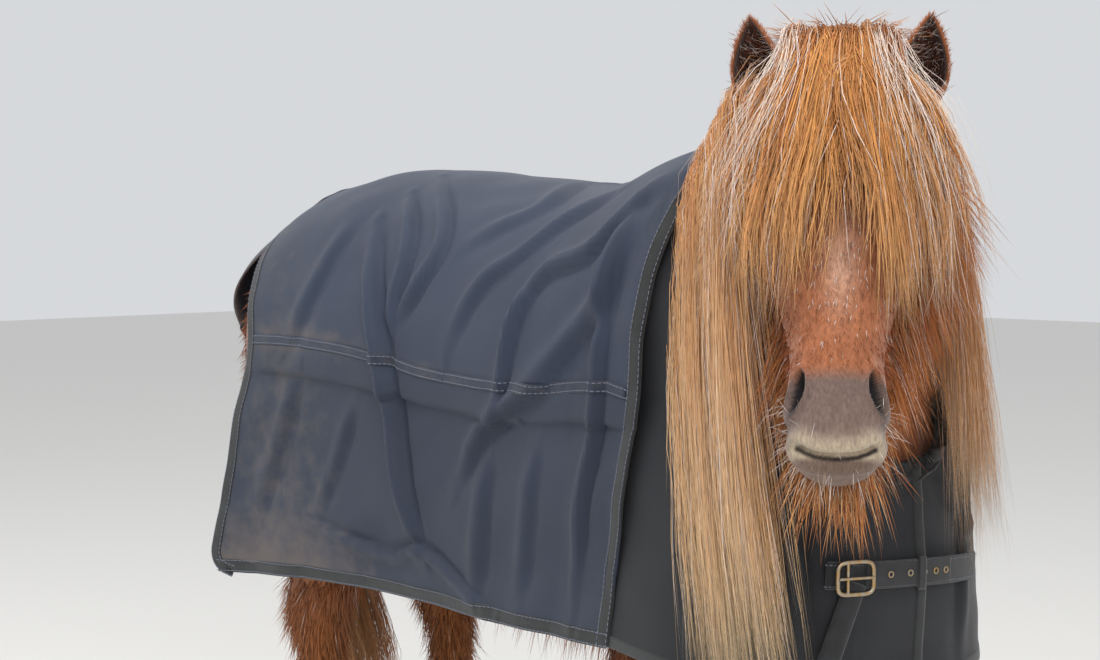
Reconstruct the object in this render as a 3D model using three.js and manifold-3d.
// A Shetland pony, life size, standing in a canvas turnout rug with its head turned to its right.
// Millimetres: +X is forward along the body, +Y is the pony's left, +Z is up and the floor is z = 0.
// Flesh is lofted through cross-sections, joined into one body and parted with thin cuts at the joints that
// a person would name. Long hair is flat, tapered locks fused to the part that they grow from.
import * as THREE from 'three';
import { ParametricGeometry } from 'three/addons/geometries/ParametricGeometry.js';
import { mergeVertices } from 'three/addons/utils/BufferGeometryUtils.js';
import Module from 'manifold-3d';

const wasm = await Module();
wasm.setup();

// Driving dimensions.
const GAP = 0.3; // between neighbouring pieces
const MERGE = 0.05; // corners nearer than this become one
const NICKS = [1, 1.6, 2.5]; // radii of the grooves that open a surface where it touches itself
const MOST_NICKS = 40; // more than these are left as they are
const WITHERS_HEIGHT = 1000;
const CROUP_HEIGHT = 980;
const BARREL_HALF = 226;
const HEAD_LENGTH = 412;
const HEAD_PITCH = 65; // degrees that the face line slopes down
const HEAD_YAW = -54.6; // degrees that the head is turned to the right of +X
const POLL = new THREE.Vector3(553, -265, 1082);
const SPINE_RADIUS = 2220; // the body curves gently to its right
const SPINE_START = -200;
const FORE_STANCE = 108; // half the distance between the two fore feet
const HIND_STANCE = 112;
const HOOF_HEIGHT = 56;
const RUG_THICKNESS = 5;
const RUG_HEM = 436;
const RUG_REAR = [-520, -478, -542]; // on the spine, at the widest level and at the hem
const RUG_FRONT = 300; // where the neck opening starts on the spine
const CHEST_FRONT = 534; // the front of the rug's chest panels
const HAIR_THICKNESS = 11;

const COAT = { color: 0xa8562a, roughness: 0.85, metalness: 0 };
const MANE = { color: 0xcf9152, roughness: 0.7, metalness: 0 };
const HORN = { color: 0x4a3d33, roughness: 0.55, metalness: 0 };
const EYE = { color: 0x1c110b, roughness: 0.08, metalness: 0 };
const CANVAS = { color: 0x2f3947, roughness: 0.75, metalness: 0 };
const LINING = { color: 0x16191d, roughness: 0.85, metalness: 0 };
const WEBBING = { color: 0x14151a, roughness: 0.8, metalness: 0 };
const BRASS = { color: 0xa9854f, roughness: 0.35, metalness: 0.9 };

const vector = (x, y, z) => new THREE.Vector3(x, y, z);
const power = (value, exponent) => Math.sign(value) * Math.abs(value) ** exponent;
const degrees = (angle) => THREE.MathUtils.degToRad(angle);
const { lerp, clamp } = THREE.MathUtils;

// A repeatable random number from 0 to 1.
let seed = 7;
function random() {
  seed = (seed * 16807) % 2147483647;
  return seed / 2147483647;
}

// The values part way along rows of stations, on a smooth curve through them all.
function stationAt(rows, t) {
  const place = clamp(t, 0, 1) * (rows.length - 1);
  const i = Math.min(Math.floor(place), rows.length - 2);
  const f = place - i;
  return rows[i].map((value, k) => {
    const next = rows[i + 1][k];
    const before = i > 0 ? rows[i - 1][k] : 2 * value - next;
    const after = i + 2 < rows.length ? rows[i + 2][k] : 2 * next - value;
    const a = (next - before) / 2;
    const b = (after - value) / 2;
    return value + f * (a + f * (3 * (next - value) - 2 * a - b + f * (2 * (value - next) + a + b)));
  });
}

// The station whose first value is x.
function stationNear(rows, x) {
  let low = 0;
  let high = 1;
  for (let step = 0; step < 24; step += 1) {
    const middle = (low + high) / 2;
    if (stationAt(rows, middle)[0] < x) low = middle;
    else high = middle;
  }
  return stationAt(rows, low);
}

// Carries a point of the straight body to the gently curved one.
function curved(p) {
  const angle = (p.x - SPINE_START) / SPINE_RADIUS;
  const reach = SPINE_RADIUS + p.y;
  return vector(SPINE_START + reach * Math.sin(angle), reach * Math.cos(angle) - SPINE_RADIUS, p.z);
}

// A solid from a geometry, with near vertices merged. Triangles that collapse, or lie back to back, are
// left out.
function solidOf(geometry, near = 1e-3) {
  const bare = geometry.index ? geometry.toNonIndexed() : geometry.clone();
  for (const name of Object.keys(bare.attributes)) if (name !== 'position') bare.deleteAttribute(name);
  const merged = mergeVertices(bare, near);
  const kept = new Map();
  for (let i = 0; i < merged.index.count; i += 3) {
    const face = [...merged.index.array.subarray(i, i + 3)];
    const key = [...face].sort((p, q) => p - q).join();
    if (kept.has(key)) kept.delete(key);
    else if (new Set(face).size === 3) kept.set(key, face);
  }
  const faces = [...kept.values()].flat();
  const solid = (order) => new wasm.Manifold(new wasm.Mesh({
    numProp: 3, vertProperties: merged.attributes.position.array, triVerts: new Uint32Array(order),
  }));
  const made = solid(faces);
  return made.volume() > 0 ? made : solid(faces.reverse());
}

const joined = (solids) => wasm.Manifold.union(solids);

function largest(solid) {
  return solid.decompose().reduce((best, part) => (part.volume() > best.volume() ? part : best));
}

function geometryOf(solid) {
  const mesh = solid.getMesh();
  const geometry = new THREE.BufferGeometry();
  geometry.setAttribute('position', new THREE.BufferAttribute(mesh.vertProperties, 3));
  geometry.setIndex(new THREE.BufferAttribute(mesh.triVerts, 1));
  return geometry;
}

// The edges along which a surface touches itself, as pairs of places.
function doubledEdges(geometry) {
  const merged = mergeVertices(geometry, 2e-4);
  const sides = new Map();
  const order = merged.index.array;
  for (let i = 0; i < order.length; i += 3) {
    for (const [a, b] of [[0, 1], [1, 2], [2, 0]]) {
      const [low, high] = [order[i + a], order[i + b]].sort((p, q) => p - q);
      const key = low * 1e6 + high;
      sides.set(key, (sides.get(key) ?? 0) + 1);
    }
  }
  const place = (i) => new THREE.Vector3().fromBufferAttribute(merged.attributes.position, i);
  const doubled = [...sides].filter(([, count]) => count !== 2);
  return doubled.map(([key]) => [place(Math.floor(key / 1e6)), place(key % 1e6)]);
}

// A thin rod between two places, by which a surface is opened where it touches itself.
function rod([from, to], radius) {
  const length = from.distanceTo(to) + 2 * radius;
  const cylinder = new THREE.CylinderGeometry(radius, radius, length, 5);
  const along = to.clone().sub(from).normalize();
  cylinder.applyQuaternion(new THREE.Quaternion().setFromUnitVectors(vector(0, 1, 0), along));
  const centre = from.clone().lerp(to, 0.5);
  cylinder.translate(centre.x, centre.y, centre.z);
  return solidOf(cylinder);
}

function meshOf(name, solid, finish) {
  const cleaned = (rough) => {
    const whole = largest(largest(rough).simplify(MERGE));
    try {
      return largest(solidOf(geometryOf(whole), MERGE));
    } catch {
      return whole; // merging its corners would join surfaces that only come near each other
    }
  };
  let clean = cleaned(solid);
  for (const radius of NICKS) {
    const touching = doubledEdges(geometryOf(clean));
    if (touching.length && touching.length < MOST_NICKS) {
      clean = cleaned(clean.subtract(joined(touching.map((edge) => rod(edge, radius)))));
    }
  }
  const geometry = geometryOf(clean);
  const node = new THREE.Mesh(geometry, new THREE.MeshStandardMaterial(finish));
  node.name = name;
  return node;
}

// A closed body through cross-sections. section(t) gives a centre, its two axes and the reach along each.
function loft(section, around, along, squareness = 1) {
  const stacks = along + 2;
  return solidOf(new ParametricGeometry((u, v, target) => {
    const row = Math.round(v * stacks);
    const s = section(clamp((row - 1) / along, 0, 1));
    target.copy(s.centre);
    if (row === 0 || row === stacks) return;
    const angle = 2 * Math.PI * u;
    const out = power(Math.cos(angle), squareness) * s.half;
    const rise = power(Math.sin(angle), squareness);
    target.addScaledVector(s.side, out);
    target.addScaledVector(s.up, rise * (rise > 0 ? s.above : s.below));
  }, around, stacks));
}

// A sheet of even thickness between two grids of points, with its rim closed.
function shell(outer, inner, across, along) {
  const points = [];
  const faces = [];
  const width = across + 1;
  const layer = width * (along + 1);
  for (const face of [outer, inner]) {
    for (let j = 0; j <= along; j += 1) {
      for (let i = 0; i <= across; i += 1) points.push(...face(i / across, j / along).toArray());
    }
  }
  const quad = (a, b, c, d) => faces.push(a, b, c, a, c, d);
  for (let j = 0; j < along; j += 1) {
    for (let i = 0; i < across; i += 1) {
      const at = j * width + i;
      faces.push(at, at + 1, at + width + 1, at, at + width + 1, at + width);
      const under = layer + at;
      faces.push(under, under + width + 1, under + 1, under, under + width, under + width + 1);
    }
  }
  for (let i = 0; i < across; i += 1) {
    const far = along * width + i;
    quad(i, layer + i, layer + i + 1, i + 1);
    quad(far + 1, layer + far + 1, layer + far, far);
  }
  for (let j = 0; j < along; j += 1) {
    const left = j * width;
    const right = left + across;
    quad(left + width, layer + left + width, layer + left, left);
    quad(right, layer + right, layer + right + width, right + width);
  }
  const geometry = new THREE.BufferGeometry();
  geometry.setAttribute('position', new THREE.Float32BufferAttribute(points, 3));
  geometry.setIndex(faces);
  return solidOf(geometry);
}

// A flat lock of hair along a curve. It is widest near the root and tapers to a point.
function lock(points, outward, width, thickness = HAIR_THICKNESS, rings = 5) {
  const curve = new THREE.CatmullRomCurve3(points, false, 'catmullrom');
  return (grow) => loft((t) => {
    const along = curve.getTangent(t);
    const side = along.clone().cross(outward).normalize();
    const taper = Math.min(1, 0.62 + 1.6 * t) * Math.max(1 - t, 0.02) ** 0.55;
    const up = side.clone().cross(along).normalize();
    const depth = (thickness / 2) * taper + 1.5 * grow;
    const half = (width / 2) * taper + 2 * grow;
    const centre = curve.getPoint(t).addScaledVector(along, (t > 0.5 ? 3 : -3) * grow);
    return { centre, side, up, half, above: depth, below: depth };
  }, 4, rings);
}

// Locks as solids. Grown ones are the space that neighbours keep out of.
const hair = (locks, grow = 0) => locks.map((strand) => strand(grow));

// A box that fills the space on one side of a plane.
function halfSpace(point, normal) {
  const size = 3000;
  const box = new THREE.BoxGeometry(size, size, size);
  const turn = new THREE.Quaternion().setFromUnitVectors(vector(0, 0, 1), normal.clone().normalize());
  box.translate(0, 0, size / 2);
  box.applyQuaternion(turn);
  box.translate(point.x, point.y, point.z);
  return solidOf(box);
}

const headFrame = new THREE.Matrix4().makeRotationFromEuler(
  new THREE.Euler(0, degrees(HEAD_PITCH), degrees(HEAD_YAW), 'ZYX'),
).setPosition(POLL);
const placed = (solid, matrix) => solid.transform(matrix.elements);
const inHead = (x, y, z) => vector(x, y, z).applyMatrix4(headFrame);

// The torso, from the buttocks to the chest: x, top, widest level, bottom, half width.
const TORSO = [
  [-572, 800, 745, 640, 90],
  [-552, 862, 750, 575, 158],
  [-500, 914, 758, 530, 200],
  [-420, 956, 762, 505, 218],
  [-310, CROUP_HEIGHT, 760, 492, 224],
  [-190, CROUP_HEIGHT - 6, 750, 478, 222],
  [-70, 960, 735, 456, BARREL_HALF],
  [60, 952, 728, 446, BARREL_HALF],
  [180, 974, 730, 450, 220],
  [270, WITHERS_HEIGHT - 4, 738, 466, 206],
  [350, 975, 738, 495, 192],
  [430, 900, 730, 545, 168],
  [488, 820, 712, 600, 124],
  [514, 760, 705, 655, 62],
];
const TORSO_SQUARENESS = 0.86;

function torso(grow) {
  return loft((t) => {
    const [x, top, widest, bottom, half] = stationAt(TORSO, t);
    const end = (t - 0.5) * 2 * grow;
    return {
      centre: vector(x + end, 0, widest),
      side: vector(0, 1, 0),
      up: vector(0, 0, 1),
      half: half + grow,
      above: top - widest + grow,
      below: widest - bottom + grow,
    };
  }, 28, 17, TORSO_SQUARENESS).warp((p) => {
    [p[0], p[1], p[2]] = curved(vector(...p)).toArray();
  });
}

// The neck, from inside the chest to inside the skull: x, y, z, half width, and its reach to the crest and
// to the throat.
const NECK = [
  [246, -60, 800, 130, 215, 200],
  [300, -85, 835, 120, 196, 188],
  [352, -112, 868, 110, 178, 172],
  [400, -142, 900, 101, 160, 152],
  [445, -172, 932, 94, 142, 134],
  [482, -198, 960, 88, 122, 116],
  [510, -218, 982, 80, 100, 98],
  [532, -236, 996, 62, 66, 70],
];
const NECK_SQUARENESS = 0.92;
const NECK_HEADING = vector(0.717, -0.48, 0.505).normalize();
const NECK_RIGHT = vector(-0.48, -0.717, 0).normalize();

function neckSection(t) {
  const [x, y, z, half, above, below] = stationAt(NECK, t);
  const up = NECK_RIGHT.clone().cross(NECK_HEADING).normalize();
  return { centre: vector(x, y, z), side: NECK_RIGHT, up, half, above, below };
}

function neck(grow) {
  return loft((t) => {
    const s = neckSection(t);
    return { ...s, half: s.half + grow, above: s.above + grow, below: s.below + grow };
  }, 20, 9, NECK_SQUARENESS);
}

// The head in its own frame: x runs down the face from the poll, z stands out from the face.
// Each row: x, top, widest level, bottom, half width.
const HEAD = [
  [-62, -34, -84, -130, 48],
  [-22, -10, -82, -166, 66],
  [22, 2, -76, -196, 84],
  [68, 7, -70, -212, 96],
  [114, 6, -68, -213, 99],
  [160, 1, -74, -199, 90],
  [206, -6, -80, -172, 73],
  [250, -11, -74, -142, 59],
  [294, -12, -64, -122, 50],
  [334, -10, -56, -111, 47],
  [366, -11, -54, -107, 50],
  [390, -20, -57, -104, 48],
  [405, -36, -62, -98, 38],
  [HEAD_LENGTH, -52, -66, -86, 20],
];

function skull(grow) {
  return loft((t) => {
    const [x, top, widest, bottom, half] = stationAt(HEAD, t);
    return {
      centre: vector(x, 0, widest),
      side: vector(0, 1, 0),
      up: vector(0, 0, 1),
      half: half + grow,
      above: top - widest + grow,
      below: widest - bottom + grow,
    };
  }, 24, 17, 0.84);
}

const EYE_RADIUS = 17;
const EYE_PLACE = vector(110, 82, -58);
const LID_THICKNESS = 4.5;
const ROUNDNESS = [14, 9]; // a ball's sides and rings

function ball(radius, place, scale = vector(1, 1, 1), turn = new THREE.Euler()) {
  const sphere = new THREE.SphereGeometry(radius, ...ROUNDNESS);
  sphere.scale(scale.x, scale.y, scale.z);
  sphere.applyQuaternion(new THREE.Quaternion().setFromEuler(turn));
  sphere.translate(place.x, place.y, place.z);
  return solidOf(sphere);
}

// A lid rim: a ring round the eye that faces out and a little forward.
function lids(side) {
  const ring = new THREE.TorusGeometry(EYE_RADIUS - 1, LID_THICKNESS, 6, 14);
  ring.scale(1.15, 0.85, 1);
  ring.rotateX(side * degrees(-80));
  ring.rotateZ(side * degrees(-18));
  ring.translate(EYE_PLACE.x, side * (EYE_PLACE.y + 9), EYE_PLACE.z);
  return solidOf(ring);
}

const NOSTRIL_PLACE = vector(364, 37, -28);
const MOUTH_LEVEL = -80;
const MOUTH_GAP = 4;

// A nostril is a bent, comma-shaped hollow with a raised rim.
function nostril(side, grow, depth) {
  const turn = new THREE.Euler(side * degrees(-38), degrees(26), side * degrees(24), 'XYZ');
  const place = vector(NOSTRIL_PLACE.x, side * NOSTRIL_PLACE.y, NOSTRIL_PLACE.z);
  return ball(1, place, vector(20 + grow, 7 + grow, depth), turn);
}

function mouth() {
  const slit = new THREE.CylinderGeometry(52, 52, MOUTH_GAP, 24);
  slit.rotateX(Math.PI / 2);
  slit.scale(1.25, 1, 1);
  slit.rotateY(degrees(-4));
  slit.translate(412, 0, MOUTH_LEVEL);
  return solidOf(slit);
}

// The head's long hair, in the head's frame.
function forelock() {
  const locks = [];
  const fringe = 6;
  for (const side of [-1, 1]) {
    for (let i = 0; i < fringe; i += 1) {
      const spread = (i + 0.5) / fringe;
      const layer = (i % 2) * 9;
      const root = side * lerp(8, 62, spread);
      const end = side * lerp(34, 118, spread) + (random() - 0.5) * 10;
      const reach = lerp(225, 268, Math.sin(Math.PI * spread)) + (random() - 0.5) * 30;
      const points = [
        vector(-6 + 14 * spread, root * 0.8, -14),
        vector(6 + 16 * spread, root, 16 + layer),
        vector(80, lerp(root, end, 0.45), 26 + layer - 30 * spread),
        vector(155, lerp(root, end, 0.85), 16 + layer - 62 * spread),
        vector(reach, end, -2 + layer - 92 * spread),
      ];
      locks.push(lock(points, vector(0, side * spread, 1), 34, 11, 4));
    }
  }
  return locks;
}

// Gravity's direction in the head's frame, for hair that hangs free.
const HEAD_DOWN = vector(Math.sin(degrees(HEAD_PITCH)), 0, -Math.cos(degrees(HEAD_PITCH)));

function beard() {
  const locks = [];
  const rows = 4;
  for (const side of [-1, 1]) {
    for (let i = 0; i < rows; i += 1) {
      const back = i / (rows - 1);
      const x = lerp(385, 200, back);
      const [, , widest, bottom, half] = stationNear(HEAD, x);
      const y = side * half * lerp(0.32, 0.62, back);
      const root = vector(x, y, lerp(bottom, widest, 0.16));
      const length = lerp(74, 104, back) + (random() - 0.5) * 16;
      const tip = root.clone().addScaledVector(HEAD_DOWN, length);
      tip.y += side * 14;
      const middle = root.clone().lerp(tip, 0.5).add(vector(0, side * 8, 0));
      const sunk = root.clone().add(vector(0, -side * 6, 16));
      locks.push(lock([sunk, root, middle, tip], vector(0.3, side, 0), 44, 12, 3));
    }
  }
  return locks;
}

// An ear: a leaf-shaped cup on the side of the poll, open to the front.
const EAR_LENGTH = 92;
const EAR_HALF = 30;
const EAR_LEAN = 14; // degrees outward

function earCup(side, grow) {
  const outline = (t) => EAR_HALF * Math.sin(Math.PI * lerp(0.22, 0.985, t) ** 0.82) ** 0.8;
  const up = vector(0, 0, 1);
  const shape = (shrink, forward, lift) => loft((t) => {
    const half = Math.max(outline(t) - shrink, 0.6);
    return {
      centre: vector(forward + 10 * t * t, side * 6 * Math.sin(Math.PI * t), lift + EAR_LENGTH * t),
      side: vector(0, 1, 0),
      up: vector(1, 0, 0),
      half,
      above: half * 0.75,
      below: half * 0.85,
    };
  }, 12, 8);
  const whole = shape(-grow, 0, 0);
  if (grow) return whole;
  const scoop = shape(6, 15, 12);
  return whole.subtract(scoop).subtract(halfSpace(vector(0, 0, -1), up.negate()));
}

// The ears stand upright on a head that slopes, so they have a frame of their own.
function earFrame(side) {
  const turn = new THREE.Matrix4().makeRotationFromEuler(
    new THREE.Euler(degrees(-EAR_LEAN) * side, 0, degrees(HEAD_YAW - 10 * -side), 'ZYX'),
  );
  return turn.setPosition(inHead(28, side * 66, -46));
}

// A leg's flesh from inside the torso to the coronet: z, x, half length, half width, and its distance from
// its stance line.
const FORELEG = [
  [700, 22, 92, 62, -4],
  [620, 18, 96, 72, 2],
  [545, 8, 84, 66, 4],
  [470, 0, 64, 54, 2],
  [400, -2, 50, 45, 0],
  [340, 0, 43, 41, 0],
  [300, 3, 42, 39, 0],
  [262, -2, 33, 31, 0],
  [190, -5, 29, 26, 0],
  [135, -3, 36, 33, 0],
  [92, 9, 32, 32, 0],
  [HOOF_HEIGHT + GAP, 20, 37, 36, 0],
];
const HINDLEG = [
  [770, 2, 118, 66, -6],
  [690, -4, 142, 80, 2],
  [610, 4, 132, 78, 4],
  [535, 10, 104, 68, 4],
  [465, -8, 74, 56, 2],
  [405, -36, 58, 46, 0],
  [360, -46, 50, 41, 0],
  [305, -38, 38, 34, 0],
  [210, -34, 30, 28, 0],
  [138, -32, 37, 34, 0],
  [92, -18, 33, 32, 0],
  [HOOF_HEIGHT + GAP, -6, 38, 36, 0],
];
const FORE_TOP = 560;
const HIND_TOP = 585;

// Each leg: the rows of its flesh, where its foot stands, its side and the level where it leaves the torso.
const LEGS = [
  { name: 'fore_right', rows: FORELEG, x: 232, y: -FORE_STANCE, top: FORE_TOP },
  { name: 'fore_left', rows: FORELEG, x: 300, y: FORE_STANCE, top: FORE_TOP },
  { name: 'hind_right', rows: HINDLEG, x: -405, y: -HIND_STANCE, top: HIND_TOP },
  { name: 'hind_left', rows: HINDLEG, x: -360, y: HIND_STANCE, top: HIND_TOP },
];

function legFlesh(leg, grow) {
  return loft((t) => {
    const [z, x, length, half, inset] = stationAt(leg.rows, t);
    return {
      centre: curved(vector(leg.x + x, leg.y + Math.sign(leg.y) * inset, z)),
      side: vector(0, 1, 0),
      up: vector(1, 0, 0),
      half: half + grow,
      above: length + grow,
      below: length + grow,
    };
  }, 14, 15);
}

// The long hair behind a fetlock.
function feather(leg) {
  const locks = [];
  const [, shift, length, half] = stationNear([...leg.rows].reverse(), 140);
  const count = 4;
  for (let i = 0; i < count; i += 1) {
    const angle = degrees(lerp(-70, 70, i / (count - 1)));
    const out = vector(-Math.cos(angle), Math.sin(angle), 0);
    const at = (z, reach) => curved(vector(
      leg.x + shift - length * reach * Math.cos(angle), leg.y + half * reach * Math.sin(angle), z));
    locks.push(lock([at(176, 0.5), at(150, 0.9), at(110, 1.2), at(62, 1.42), at(26, 1.5)], out, 40, 11, 3));
  }
  return locks;
}

// A hoof: a short cone whose toe reaches forward: z, x, half length, half width.
const HOOF = [
  [0, 6, 50, 47],
  [HOOF_HEIGHT * 0.5, 1, 45, 42],
  [HOOF_HEIGHT, -5, 39, 37],
];

function hoof() {
  return loft((t) => {
    const [z, x, length, half] = stationAt(HOOF, t);
    return {
      centre: vector(x, 0, z), side: vector(0, 1, 0), up: vector(1, 0, 0), half, above: length, below: length,
    };
  }, 20, 2);
}

// The tail: a short dock inside a fall of locks.
const DOCK_ROOT = vector(-560, 0, 862);
const TAIL_FALL = 74; // the height of the longest hair's tips above the floor

function tail() {
  const spine = [
    [-530, 878, 26], [-572, 858, 32], [-596, 810, 36], [-604, 730, 40], [-606, 640, 40], [-606, 560, 22],
  ];
  const pieces = [loft((t) => {
    const [x, z, half] = stationAt(spine, t);
    return {
      centre: curved(vector(x, 0, z)),
      side: vector(0, 1, 0),
      up: vector(-0.8, 0, 0.6),
      half: half * 1.25,
      above: half * 0.8,
      below: half * 0.8,
    };
  }, 10, 6)];
  const count = 11;
  for (let i = 0; i < count; i += 1) {
    const angle = 2 * Math.PI * (i / count) + 0.2;
    const layer = i % 2;
    const out = vector(Math.cos(angle), Math.sin(angle), 0);
    const reach = 34 + 16 * layer + 8 * random();
    const at = (z, spread) => curved(vector(
      DOCK_ROOT.x - 46 + spread * reach * out.x * 0.8, spread * reach * out.y * 1.5, z));
    const start = lerp(800, 640, random());
    const end = TAIL_FALL + 90 * random();
    const points = [
      at(start, 0.35), at(start - 40, 0.9), at(lerp(start, end, 0.35), 1.25),
      at(lerp(start, end, 0.7), 1.2), at(end, 0.8),
    ];
    pieces.push(lock(points, out, 64, 16, 4)(0));
  }
  return joined(pieces);
}

// The mane, on both sides of the neck: where its hair reaches at its ends, behind and in front.
const MANE_SIDES = [
  {
    turn: 1, count: 7, clear: [124, 110], face: vector(-0.1, -1, 0),
    behind: vector(414, -330, 446), front: vector(572, -350, 462),
  },
  {
    turn: -1, count: 6, clear: [116, 106], face: vector(0.86, 0.51, 0),
    behind: vector(560, 40, 640), front: vector(640, -96, 600),
  },
];
const MANE_SPAN = [0.32, 0.93]; // the stretch of the neck that it grows on
const MANE_WIDTH = 64;

// The line of one lock: up out of the crest, over the side of the neck, and down.
function maneLine(side, share, layer, lift) {
  const s = neckSection(lerp(...MANE_SPAN, share));
  const out = NECK_RIGHT.clone().multiplyScalar(side.turn);
  const crest = s.centre.clone().addScaledVector(s.up, s.above);
  const end = side.behind.clone().lerp(side.front, share).addScaledVector(out, layer);
  end.z += lift;
  const brow = s.centre.clone().addScaledVector(out, lerp(...side.clear, share) + layer);
  brow.z += 40;
  return [
    crest.clone().addScaledVector(s.up, -18).addScaledVector(out, 2),
    crest.clone().addScaledVector(s.up, 12).addScaledVector(out, 30),
    brow,
    brow.clone().lerp(end, 0.5).addScaledVector(out, 14),
    end,
  ];
}

function mane(side) {
  const locks = [];
  for (let i = 0; i < side.count; i += 1) {
    const points = maneLine(side, (i + 0.5) / side.count, 8 + (i % 2) * 9, 70 * random() - 20);
    locks.push(lock(points, side.face, MANE_WIDTH, 14));
  }
  return locks;
}

// The rug's guide lines in the straight body's frame. Along runs from 0 at the tail to 1 at the chest's
// middle, and the body's length takes up the first SIDE_SHARE of it.
const SIDE_SHARE = 0.74;
const SLIT_TOP = 0.8; // where the side ends over the chest panel, at the neckline
const SLIT_HEM = 0.735; // and at the hem
const RUG_LIFT = 9; // between the coat and the cloth's lining
const RUG_ROWS = 12; // from the spine to the hem, and even, so that one row lies at the widest level
const RUG_COLUMNS = { side: 14, chest: 7 };

const WIDEST_SHARE = 0.5; // how far down the sheet its widest level is
const NECKLINE = new THREE.CatmullRomCurve3([
  vector(RUG_FRONT, 0, 998), vector(338, 104, 948), vector(412, 150, 852),
  vector(492, 104, 748), vector(CHEST_FRONT, 4, 690),
], false, 'catmullrom');

// A point of the straight body moved out to the torso's own surface where it lies inside it.
function clearOfTorso(p, margin = RUG_LIFT) {
  const [, top, widest, bottom, half] = stationNear(TORSO, p.x);
  const rise = (p.z - widest) / (p.z > widest ? top - widest + margin : widest - bottom + margin);
  const exponent = 2 / TORSO_SQUARENESS;
  const share = Math.abs(p.y / (half + margin)) ** exponent + Math.abs(rise) ** exponent;
  if (share >= 1 || p.z < widest - 40) return p;
  const scale = Math.max(share, 1e-4) ** (-1 / exponent);
  return vector(p.x, p.y * scale, widest + (p.z - widest) * scale);
}

// The rounded wall that the rug's chest panels hang in, seen from above: at an angle from the middle.
function chestWall(angle, extra) {
  const [, , , , half] = stationNear(TORSO, RUG_FRONT);
  return vector(
    RUG_FRONT + (CHEST_FRONT - RUG_FRONT + extra) * power(Math.cos(angle), 0.82),
    (half + extra) * power(Math.sin(angle), 0.82), 0);
}

// A point of the rug's inner face: share of the way from the spine or neckline down to the hem, and along.
function rugInside(side, down, along) {
  let top;
  let wide;
  let hem;
  if (along <= SIDE_SHARE) {
    const [x, middleX, hemX] = RUG_REAR.map((rear) => lerp(rear, RUG_FRONT, along / SIDE_SHARE));
    const [, height] = stationNear(TORSO, x);
    const [, , widest, , half] = stationNear(TORSO, middleX);
    const [, , , , full] = stationNear(TORSO, Math.max(x, -430));
    const rear = clamp((-x - 330) / 230, 0, 1);
    top = vector(x, 0, height);
    wide = vector(middleX, lerp(half, full, 0.3), widest);
    hem = vector(hemX, full + 6 + 16 * rear, RUG_HEM + 12 * (1 - rear));
  } else {
    const turn = (along - SIDE_SHARE) / (1 - SIDE_SHARE);
    const angle = degrees(90 * (1 - turn));
    const [, , widest] = stationNear(TORSO, RUG_FRONT);
    top = NECKLINE.getPoint(turn);
    wide = chestWall(angle, 0);
    wide.z = lerp(widest, 660, turn);
    hem = chestWall(angle, 6 + 10 * Math.sin(Math.PI * turn));
    hem.z = RUG_HEM + 12 - 30 * turn;
  }
  let p;
  if (down > WIDEST_SHARE) {
    p = wide.lerp(hem, (down - WIDEST_SHARE) / (1 - WIDEST_SHARE));
  } else {
    const share = down / WIDEST_SHARE;
    const out = power(Math.sin((Math.PI / 2) * share), TORSO_SQUARENESS);
    const rise = power(Math.cos((Math.PI / 2) * share), TORSO_SQUARENESS);
    const round = vector(
      top.x + (wide.x - top.x) * out, top.y + (wide.y - top.y) * out, wide.z + (top.z - wide.z) * rise);
    const flatness = clamp(14 * (along - SIDE_SHARE) / (1 - SIDE_SHARE), 0, 1);
    p = round.lerp(top.lerp(wide, share), flatness);
  }
  p = clearOfTorso(p);
  return curved(vector(p.x, side * (Math.abs(p.y) + GAP / 2), p.z));
}

// The way out of the rug at one of its points. Past the spine and past the chest's middle, the sheet goes on
// as the other side's.
function rugNormal(side, down, along) {
  const step = 0.02;
  const at = (d, a) => {
    if (a > 1) return rugInside(-side, d, 2 - a);
    if (d < 0 && a <= SIDE_SHARE) return rugInside(-side, -d, a);
    return rugInside(side, Math.max(d, 0), Math.max(a, 0));
  };
  const ahead = at(down, along + step).sub(at(down, along - step));
  const lower = at(down + step, along).sub(at(down - step, along));
  return lower.cross(ahead).multiplyScalar(-side).normalize();
}

const rugAt = (side, down, along, lift) => rugInside(side, down, along)
  .addScaledVector(rugNormal(side, clamp(down, 0, 1), clamp(along, 0, 1)), lift);

// One panel of the rug, on one side, over a range of along. Growing it gives the space that others keep
// out of.
function rugPanel(side, from, to, across, columns, grow = 0) {
  const panel = (rim) => {
    const past = (share) => (share > 0 && share < 1 ? share : share + rim * Math.sign(share - 0.5));
    const face = (lift) => (u, v) => (
      rugAt(side, past(u), Math.min(lerp(from(u), to(u), past(v)), 1), lift));
    return shell(face(RUG_THICKNESS + grow), face(-1 - grow), across, columns);
  };
  return grow ? panel(0).add(panel(0.012)) : panel(0);
}

// The flap that stands over the tail: x and z of its middle line, half width, and how far its edges droop.
const FLAP = [
  [-468, 968, 96, 26],
  [-530, 930, 132, 44],
  [-578, 902, 150, 62],
  [-606, 866, 150, 64],
  [-616, 818, 138, 58],
];

function tailFlap(grow = 0) {
  const face = (lift) => (u, v) => {
    const [x, z, half, droop] = stationAt(FLAP, v);
    const y = lerp(-1, 1, u);
    const p = vector(x + 46 * y * y * v * v, y * half, z - droop * y * y);
    return curved(clearOfTorso(p, RUG_LIFT + RUG_THICKNESS + 4).add(vector(-lift * v, 0, lift * (1 - v))));
  };
  return shell(face(3 + 3 * grow), face(-3 * grow), 8, 8);
}

// A point in front of the rug's chest, at an angle from the middle, a height and a distance from its lining.
function chestPoint(angle, z, lift) {
  const p = chestWall(degrees(angle), lift);
  p.z = z;
  return curved(p);
}

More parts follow.
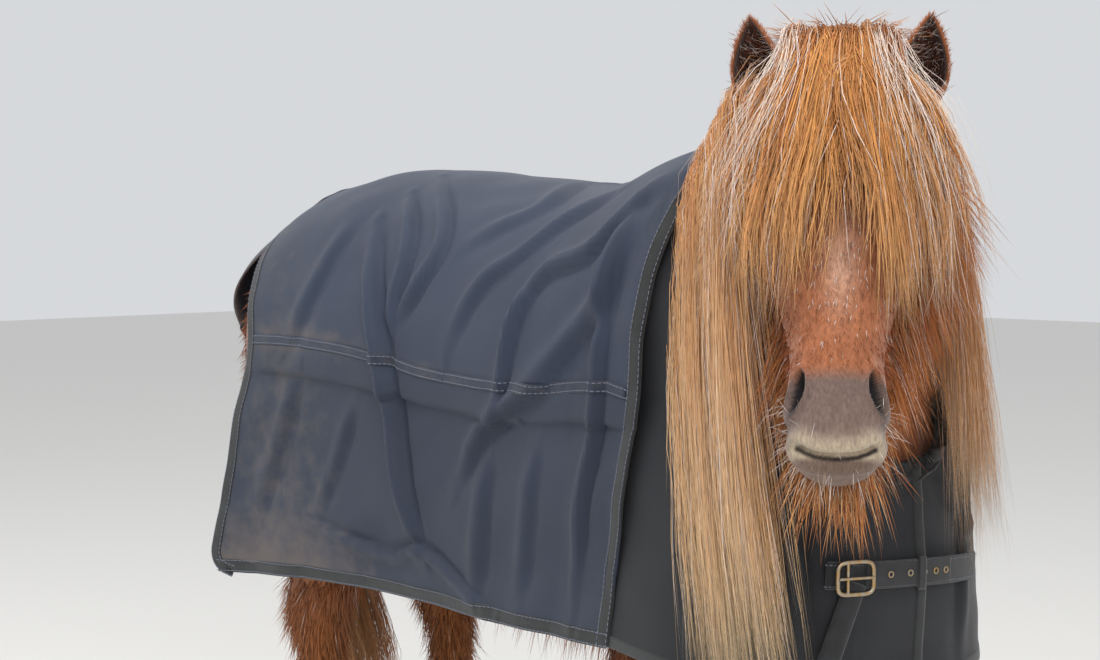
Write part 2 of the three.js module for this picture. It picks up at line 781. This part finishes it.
const STRAP_LEVEL = 552;
const STRAP_HALF = 15;
const STRAP_THICKNESS = 3;
const STRAP_LIFT = 16; // from the rug's lining to the strap
const STRAP_REACH = [-19, 30]; // degrees to either side of the chest's middle

function chestStrap() {
  const face = (lift) => (u, v) => chestPoint(
    lerp(...STRAP_REACH, v), STRAP_LEVEL + lerp(-STRAP_HALF, STRAP_HALF, u) - 8 * v, lift);
  return shell(face(STRAP_LIFT + STRAP_THICKNESS), face(STRAP_LIFT), 2, 16);
}

const BUCKLE_WIDTH = 46;
const BUCKLE_HEIGHT = 38;
const BUCKLE_BAR = 4.5;
const BUCKLE_DEPTH = 4;
const PIN_RADIUS = 1.8;
const BUCKLE_ANGLE = -11;

function roundedRectangle(path, width, height, corner) {
  const x = width / 2;
  const y = height / 2;
  path.moveTo(-x + corner, -y);
  path.lineTo(x - corner, -y);
  path.absarc(x - corner, -y + corner, corner, -Math.PI / 2, 0);
  path.lineTo(x, y - corner);
  path.absarc(x - corner, y - corner, corner, 0, Math.PI / 2);
  path.lineTo(-x + corner, y);
  path.absarc(-x + corner, y - corner, corner, Math.PI / 2, Math.PI);
  path.lineTo(-x, -y + corner);
  path.absarc(-x + corner, -y + corner, corner, Math.PI, 1.5 * Math.PI);
  return path;
}

function buckleFrame() {
  const outline = roundedRectangle(new THREE.Shape(), BUCKLE_WIDTH, BUCKLE_HEIGHT, 9);
  outline.holes.push(roundedRectangle(
    new THREE.Path(), BUCKLE_WIDTH - 2 * BUCKLE_BAR, BUCKLE_HEIGHT - 2 * BUCKLE_BAR, 5));
  const plate = { depth: BUCKLE_DEPTH, bevelEnabled: false, curveSegments: 4 };
  return solidOf(new THREE.ExtrudeGeometry(outline, plate));
}

function bucklePin() {
  const pin = new THREE.CylinderGeometry(PIN_RADIUS, PIN_RADIUS, BUCKLE_WIDTH - 2 * BUCKLE_BAR - 1, 8);
  pin.rotateZ(Math.PI / 2);
  pin.translate(0, 0, BUCKLE_DEPTH / 2);
  return solidOf(pin);
}

// A belly strap, from inside the right hem to inside the left one.
function surcingle(xRight, xLeft, drop) {
  const width = 40;
  const face = (lift) => (u, v) => {
    const y = lerp(-BARREL_HALF, BARREL_HALF, v);
    const x = lerp(xRight, xLeft, v) + lerp(-width / 2, width / 2, u);
    const [, , widest, bottom, half] = stationNear(TORSO, x);
    const flat = Math.max(1 - Math.abs(y / half) ** 2.3, 0) ** 0.43;
    const belly = widest - (widest - bottom) * flat;
    return curved(vector(x, y, Math.min(belly, 470) - drop - lift));
  };
  return shell(face(3), face(0), 2, 20);
}

// Everything is assembled here. First the flesh, as one body that is then parted.
const headPlane = { point: inHead(-26, 0, -10), normal: inHead(0.86, 0, 0.5).sub(POLL) };
const neckPlane = { point: vector(352, -112, 868), normal: NECK_HEADING.clone() };
const legParts = LEGS.map((leg) => {
  const cut = halfSpace(vector(0, 0, leg.top), vector(0, 0, -1));
  const flesh = legFlesh(leg, 0);
  return { ...leg, lower: flesh.intersect(cut), upper: flesh.subtract(cut) };
});
const offset = (plane, distance, flip = 1) => halfSpace(
  plane.point.clone().addScaledVector(plane.normal.clone().normalize(), distance),
  plane.normal.clone().multiplyScalar(flip));

const headWorld = placed(skull(0), headFrame);
const aheadOfPoll = (distance) => offset(headPlane, distance)
  .intersect(placed(skull(30 - distance), headFrame));
const front = joined([torso(0), neck(0), headWorld, ...legParts.map((leg) => leg.upper)]);
const neckRegion = (distance) => offset(neckPlane, distance).intersect(neck(40 - distance));
const trunk = front.subtract(neckRegion(-GAP / 2)).subtract(aheadOfPoll(-GAP / 2));
const neckFlesh = front.intersect(neckRegion(GAP / 2)).subtract(aheadOfPoll(-GAP / 2));
const headFlesh = front.intersect(aheadOfPoll(GAP / 2));

// The space that hair keeps out of.
const slit = (extra) => (down) => lerp(SLIT_TOP, SLIT_HEM, down) + extra;
const rugPanels = {
  rug_side_right: [-1, () => 0, slit(0)],
  rug_side_left: [1, () => 0, slit(0)],
  rug_chest_right: [-1, slit(0.0006), () => 1],
  rug_chest_left: [1, slit(0.0006), () => 1],
};
const bodySpace = joined([torso(GAP), neck(GAP), ...LEGS.map((leg) => legFlesh(leg, GAP))]);
const panelOf = (name, grow) => {
  const [side, from, to] = rugPanels[name];
  const columns = name.includes('side') ? RUG_COLUMNS.side : RUG_COLUMNS.chest;
  return rugPanel(side, from, to, RUG_ROWS, columns, grow);
};
const rugSolids = Object.keys(rugPanels).map((name) => {
  const cloth = panelOf(name, 0).subtract(bodySpace);
  const beside = name.replace('chest', 'side');
  return [name, beside === name ? cloth : cloth.subtract(panelOf(beside, 2))];
});
const rugSpace = joined([
  ...Object.keys(rugPanels).map((name) => panelOf(name, 3)),
  ...rugSolids.map(([, solid]) => solid),
]);

const toHead = headFrame.clone().invert();
let headSolid = placed(headFlesh, toHead);
headSolid = joined([headSolid, lids(1), lids(-1), nostril(1, 4, 9), nostril(-1, 4, 9)]);
headSolid = headSolid.subtract(joined([
  nostril(1, 0, 22), nostril(-1, 0, 22), mouth(),
  ball(EYE_RADIUS + GAP, EYE_PLACE), ball(EYE_RADIUS + GAP, vector(EYE_PLACE.x, -EYE_PLACE.y, EYE_PLACE.z)),
]));
const headHair = [...forelock(), ...beard()];
const behindPoll = placed(offset(headPlane, GAP / 2, -1).intersect(neck(GAP)), toHead);
headSolid = joined([headSolid, ...hair(headHair)]).subtract(behindPoll);

const earSolids = [1, -1].map((side) => placed(earCup(side, 0), earFrame(side)));
const earSpace = joined([1, -1].map((side) => placed(earCup(side, GAP), earFrame(side))));
headSolid = headSolid.subtract(placed(earSpace, toHead));

const maneLocks = MANE_SIDES.flatMap(mane);
const headSpace = joined([
  placed(joined([skull(GAP), ...hair(headHair, 4 * GAP)]), headFrame),
  aheadOfPoll(-GAP / 2),
]);
const neckSolid = joined([neckFlesh, ...hair(maneLocks)])
  .subtract(joined([headSpace, rugSpace, earSpace]))
  .subtract(bodySpace.subtract(neckRegion(GAP / 2)))
  .subtract(trunk);

const pony = new THREE.Group();
const rugGroup = new THREE.Group();
const headGroup = new THREE.Group();
headGroup.applyMatrix4(headFrame);
headGroup.add(meshOf('head', headSolid, COAT));
for (const side of [1, -1]) {
  const place = vector(EYE_PLACE.x, side * EYE_PLACE.y, EYE_PLACE.z);
  const globe = new THREE.SphereGeometry(EYE_RADIUS, ...ROUNDNESS);
  const eye = new THREE.Mesh(globe, new THREE.MeshStandardMaterial(EYE));
  eye.name = side > 0 ? 'eye_left' : 'eye_right';
  eye.position.copy(place);
  headGroup.add(eye);
}
pony.add(headGroup);
const skullSpace = placed(skull(GAP), headFrame);
[['ear_left', 0], ['ear_right', 1]].forEach(([name, i]) => {
  pony.add(meshOf(name, earSolids[i].subtract(skullSpace).subtract(neck(GAP)), COAT));
});
pony.add(meshOf('neck', neckSolid, MANE));
pony.add(meshOf('torso', trunk, COAT));
const torsoSpace = torso(GAP);
for (const leg of legParts) {
  const hairy = joined([leg.lower, ...hair(feather(leg))]);
  const trimmed = hairy.intersect(halfSpace(vector(0, 0, leg.top - GAP), vector(0, 0, -1)));
  const foot = new THREE.Group();
  const below = curved(vector(leg.x, leg.y, 0));
  const [, shift] = leg.rows[leg.rows.length - 1];
  foot.position.set(below.x + shift, below.y, 0);
  foot.rotation.z = -(leg.x - SPINE_START) / SPINE_RADIUS;
  const horn = meshOf(`hoof_${leg.name}`, hoof(), HORN);
  foot.add(horn);
  foot.updateMatrixWorld(true);
  const grownHoof = hoof().scale([1.012, 1.012, 1.006]);
  pony.add(foot);
  pony.add(meshOf(`leg_${leg.name}`,
    trimmed.subtract(torsoSpace).subtract(placed(grownHoof, foot.matrixWorld)), COAT));
}
const dockPlane = halfSpace(curved(vector(-572, 0, 0)), vector(1, 0.17, 0));
const flapSolid = tailFlap().subtract(rugSpace).subtract(bodySpace);
const tailSolid = tail().subtract(joined([bodySpace, rugSpace, dockPlane, tailFlap(1)])).subtract(flapSolid);
pony.add(meshOf('tail', tailSolid, MANE));

for (const [name, solid] of rugSolids) rugGroup.add(meshOf(name, solid, CANVAS));
rugGroup.add(meshOf('rug_tail_flap', flapSolid, CANVAS));
rugGroup.add(meshOf('chest_strap', chestStrap(), WEBBING));
rugGroup.add(meshOf('surcingle_front', surcingle(40, 120, 2).subtract(rugSpace).subtract(bodySpace), LINING));
rugGroup.add(meshOf('surcingle_rear', surcingle(120, 30, 7).subtract(rugSpace).subtract(bodySpace), LINING));
const clasp = new THREE.Group();
const onStrap = (angle, rise) => chestPoint(
  angle, STRAP_LEVEL - 3 + rise, STRAP_LIFT + STRAP_THICKNESS + 6 * GAP);
const across = onStrap(BUCKLE_ANGLE + 3, 0).sub(onStrap(BUCKLE_ANGLE - 3, 0)).normalize();
const rise = onStrap(BUCKLE_ANGLE, 10).sub(onStrap(BUCKLE_ANGLE, -10)).normalize();
const away = across.clone().cross(rise).normalize();
clasp.applyMatrix4(new THREE.Matrix4().makeBasis(across, away.clone().cross(across), away)
  .setPosition(onStrap(BUCKLE_ANGLE, 0)));
clasp.add(meshOf('chest_buckle', buckleFrame(), BRASS));
clasp.add(meshOf('buckle_pin', bucklePin(), BRASS));
rugGroup.add(clasp);
pony.add(rugGroup);

// The origin is below the middle of the whole, on the floor.
pony.updateMatrixWorld(true);
const bounds = new THREE.Box3().setFromObject(pony, true);
const middle = bounds.getCenter(vector(0, 0, 0));
pony.position.set(-middle.x, -middle.y, -bounds.min.z);

export default pony;
